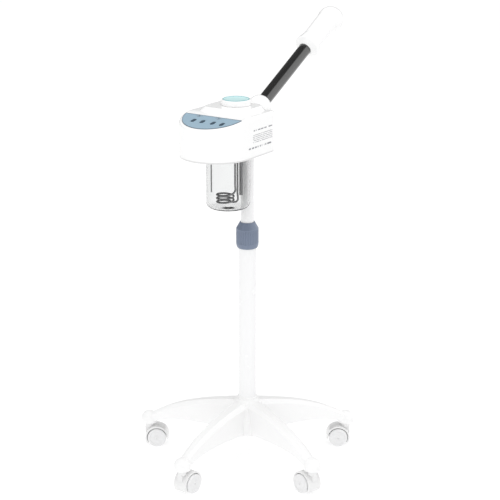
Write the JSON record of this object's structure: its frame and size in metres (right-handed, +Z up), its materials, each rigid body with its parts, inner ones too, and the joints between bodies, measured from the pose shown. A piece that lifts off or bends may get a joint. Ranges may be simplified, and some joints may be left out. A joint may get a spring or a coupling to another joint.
{
  "type": "facial steamer",
  "caption": "Facial steamer on a five-star base with casters: telescopic column, boiler head with glass jar and lens-shaped panel, and a ball-jointed steam arm.",
  "frame": {"origin": "the point on the floor under the column axis", "axes": "+Z up along the column; -Y towards the side the control panel partly faces; the rear leg of the base points along +Y"},
  "size_m": [0.4792, 0.5084, 0.9626],
  "materials": {
    "base_white": "satin moulded",
    "casing_white": "gloss moulded",
    "tube_white": "white powder coat",
    "collar_grey": "ribbed moulded",
    "panel_blue": "printed membrane",
    "button_slate": "matt rubbery",
    "lens_grey": "clear grey",
    "cap_teal": "translucent",
    "jar_glass": "clear",
    "lamp_glass": "clear",
    "steel": "drawn",
    "nylon": "natural",
    "zinc": "zinc plated",
    "sleeve_black": "fine ribbed",
    "gasket": "soft",
    "pad_felt": "felt",
    "board_green": "lacquered",
    "transformer_iron": "varnished",
    "inlet_black": "moulded",
    "caster_white": "moulded",
    "wheel_white": "moulded"
  },
  "bodies": {
    "stand": {"star_base": "base_white", "caster_sockets": "nylon", "column_tube": "tube_white", "column_plug": "nylon", "column_bolt": "zinc", "column_bush": "nylon"},
    "collar": {"clamp_collar": "collar_grey"},
    "mast": {"mast_tube": "tube_white", "mast_stop": "nylon"},
    "head": {"head_lower_shell": "casing_white", "head_upper_shell": "casing_white", "mast_socket": "nylon", "control_panel": "panel_blue", "indicator_lenses": "lens_grey", "control_board": "board_green", "filler_neck": "nylon", "jar_flange": "steel", "jar_gasket": "gasket", "heating_coil": "steel", "level_probe": "steel", "steam_sensor": "steel", "steam_duct": "steel", "ozone_lamp": "lamp_glass", "transformer": "transformer_iron", "mains_inlet": "inlet_black", "shell_screws": "zinc"},
    "jar": {"glass_jar": "jar_glass"},
    "cap": {"filler_cap": "casing_white", "cap_disc": "cap_teal"},
    "arm_turn": {"arm_socket": "nylon"},
    "arm": {"arm_ball": "casing_white", "arm_tube": "steel", "arm_sleeve": "sleeve_black"},
    "nozzle": {"nozzle_body": "casing_white", "nozzle_ring": "casing_white", "nozzle_pad": "pad_felt"},
    "key_1": {"button_1": "button_slate"},
    "key_2": {"button_2": "button_slate"},
    "key_3": {"button_3": "button_slate"},
    "key_4": {"button_4": "button_slate"},
    "caster_1": {"caster_1_hood": "caster_white", "caster_1_pins": "zinc"},
    "wheel_1_left": {"caster_1_wheel_left": "wheel_white"},
    "wheel_1_right": {"caster_1_wheel_right": "wheel_white"},
    "caster_2": {"caster_2_hood": "caster_white", "caster_2_pins": "zinc"},
    "wheel_2_left": {"caster_2_wheel_left": "wheel_white"},
    "wheel_2_right": {"caster_2_wheel_right": "wheel_white"},
    "caster_3": {"caster_3_hood": "caster_white", "caster_3_pins": "zinc"},
    "wheel_3_left": {"caster_3_wheel_left": "wheel_white"},
    "wheel_3_right": {"caster_3_wheel_right": "wheel_white"},
    "caster_4": {"caster_4_hood": "caster_white", "caster_4_pins": "zinc"},
    "wheel_4_left": {"caster_4_wheel_left": "wheel_white"},
    "wheel_4_right": {"caster_4_wheel_right": "wheel_white"},
    "caster_5": {"caster_5_hood": "caster_white", "caster_5_pins": "zinc"},
    "wheel_5_left": {"caster_5_wheel_left": "wheel_white"},
    "wheel_5_right": {"caster_5_wheel_right": "wheel_white"}
  },
  "joints": [
    {"name": "mast_slide", "type": "slide", "parent": "stand", "child": "mast", "axis": [0, 0, 1], "range_m": [-0.12, 0.17]},
    {"name": "collar_twist", "type": "hinge", "parent": "stand", "child": "collar", "pos_m": [0, 0, 0.51], "axis": [0, 0, 1], "range_deg": [-45, 45]},
    {"name": "head_turn", "type": "hinge", "parent": "mast", "child": "head", "pos_m": [0, 0, 0.74], "axis": [0, 0, 1], "range_deg": [-170, 170]},
    {"name": "jar_release", "type": "slide", "parent": "head", "child": "jar", "axis": [0, 0, -1], "range_m": [0, 0.13]},
    {"name": "cap_lift", "type": "slide", "parent": "head", "child": "cap", "axis": [0, 0, 1], "range_m": [0, 0.05]},
    {"name": "arm_swing", "type": "hinge", "parent": "head", "child": "arm_turn", "pos_m": [0.02516, 0.03731, 0.785], "axis": [0, 0, 1], "range_deg": [-100, 100]},
    {"name": "arm_tilt", "type": "hinge", "parent": "arm_turn", "child": "arm", "pos_m": [0.02516, 0.03731, 0.785], "axis": [0.829, -0.5592, 0], "range_deg": [-23, 45]},
    {"name": "nozzle_turn", "type": "hinge", "parent": "arm", "child": "nozzle", "pos_m": [0.13819, 0.20488, 0.89475], "axis": [0.4914, 0.7286, 0.4772], "range_deg": [-170, 170]},
    {"name": "key_1_press", "type": "slide", "parent": "head", "child": "key_1", "axis": [0, 0, -1], "range_m": [0, 0.0012], "stiffness_N_per_m": 400},
    {"name": "key_2_press", "type": "slide", "parent": "head", "child": "key_2", "axis": [0, 0, -1], "range_m": [0, 0.0012], "stiffness_N_per_m": 400},
    {"name": "key_3_press", "type": "slide", "parent": "head", "child": "key_3", "axis": [0, 0, -1], "range_m": [0, 0.0012], "stiffness_N_per_m": 400},
    {"name": "key_4_press", "type": "slide", "parent": "head", "child": "key_4", "axis": [0, 0, -1], "range_m": [0, 0.0012], "stiffness_N_per_m": 400},
    {"name": "caster_1_swivel", "type": "hinge", "parent": "stand", "child": "caster_1", "pos_m": [0, 0.233, 0.06], "axis": [0, 0, 1], "continuous": true},
    {"name": "wheel_1_left_roll", "type": "hinge", "parent": "caster_1", "child": "wheel_1_left", "pos_m": [0, 0.216, 0.021], "axis": [1, 0, 0], "continuous": true},
    {"name": "wheel_1_right_roll", "type": "hinge", "parent": "caster_1", "child": "wheel_1_right", "pos_m": [0, 0.216, 0.021], "axis": [1, 0, 0], "continuous": true},
    {"name": "caster_2_swivel", "type": "hinge", "parent": "stand", "child": "caster_2", "pos_m": [-0.2216, 0.072, 0.06], "axis": [0, 0, 1], "continuous": true},
    {"name": "wheel_2_left_roll", "type": "hinge", "parent": "caster_2", "child": "wheel_2_left", "pos_m": [-0.2046, 0.072, 0.021], "axis": [0, 1, 0], "continuous": true},
    {"name": "wheel_2_right_roll", "type": "hinge", "parent": "caster_2", "child": "wheel_2_right", "pos_m": [-0.2046, 0.072, 0.021], "axis": [0, 1, 0], "continuous": true},
    {"name": "caster_3_swivel", "type": "hinge", "parent": "stand", "child": "caster_3", "pos_m": [-0.13695, -0.1885, 0.06], "axis": [0, 0, 1], "continuous": true},
    {"name": "wheel_3_left_roll", "type": "hinge", "parent": "caster_3", "child": "wheel_3_left", "pos_m": [-0.12626, -0.17529, 0.021], "axis": [-0.7771, 0.6293, 0], "continuous": true},
    {"name": "wheel_3_right_roll", "type": "hinge", "parent": "caster_3", "child": "wheel_3_right", "pos_m": [-0.12626, -0.17529, 0.021], "axis": [-0.7771, 0.6293, 0], "continuous": true},
    {"name": "caster_4_swivel", "type": "hinge", "parent": "stand", "child": "caster_4", "pos_m": [0.13695, -0.1885, 0.06], "axis": [0, 0, 1], "continuous": true},
    {"name": "wheel_4_left_roll", "type": "hinge", "parent": "caster_4", "child": "wheel_4_left", "pos_m": [0.12626, -0.17529, 0.021], "axis": [-0.7771, -0.6293, 0], "continuous": true},
    {"name": "wheel_4_right_roll", "type": "hinge", "parent": "caster_4", "child": "wheel_4_right", "pos_m": [0.12626, -0.17529, 0.021], "axis": [-0.7771, -0.6293, 0], "continuous": true},
    {"name": "caster_5_swivel", "type": "hinge", "parent": "stand", "child": "caster_5", "pos_m": [0.2216, 0.072, 0.06], "axis": [0, 0, 1], "continuous": true},
    {"name": "wheel_5_left_roll", "type": "hinge", "parent": "caster_5", "child": "wheel_5_left", "pos_m": [0.2046, 0.072, 0.021], "axis": [0, -1, 0], "continuous": true},
    {"name": "wheel_5_right_roll", "type": "hinge", "parent": "caster_5", "child": "wheel_5_right", "pos_m": [0.2046, 0.072, 0.021], "axis": [0, -1, 0], "continuous": true}
  ]
}
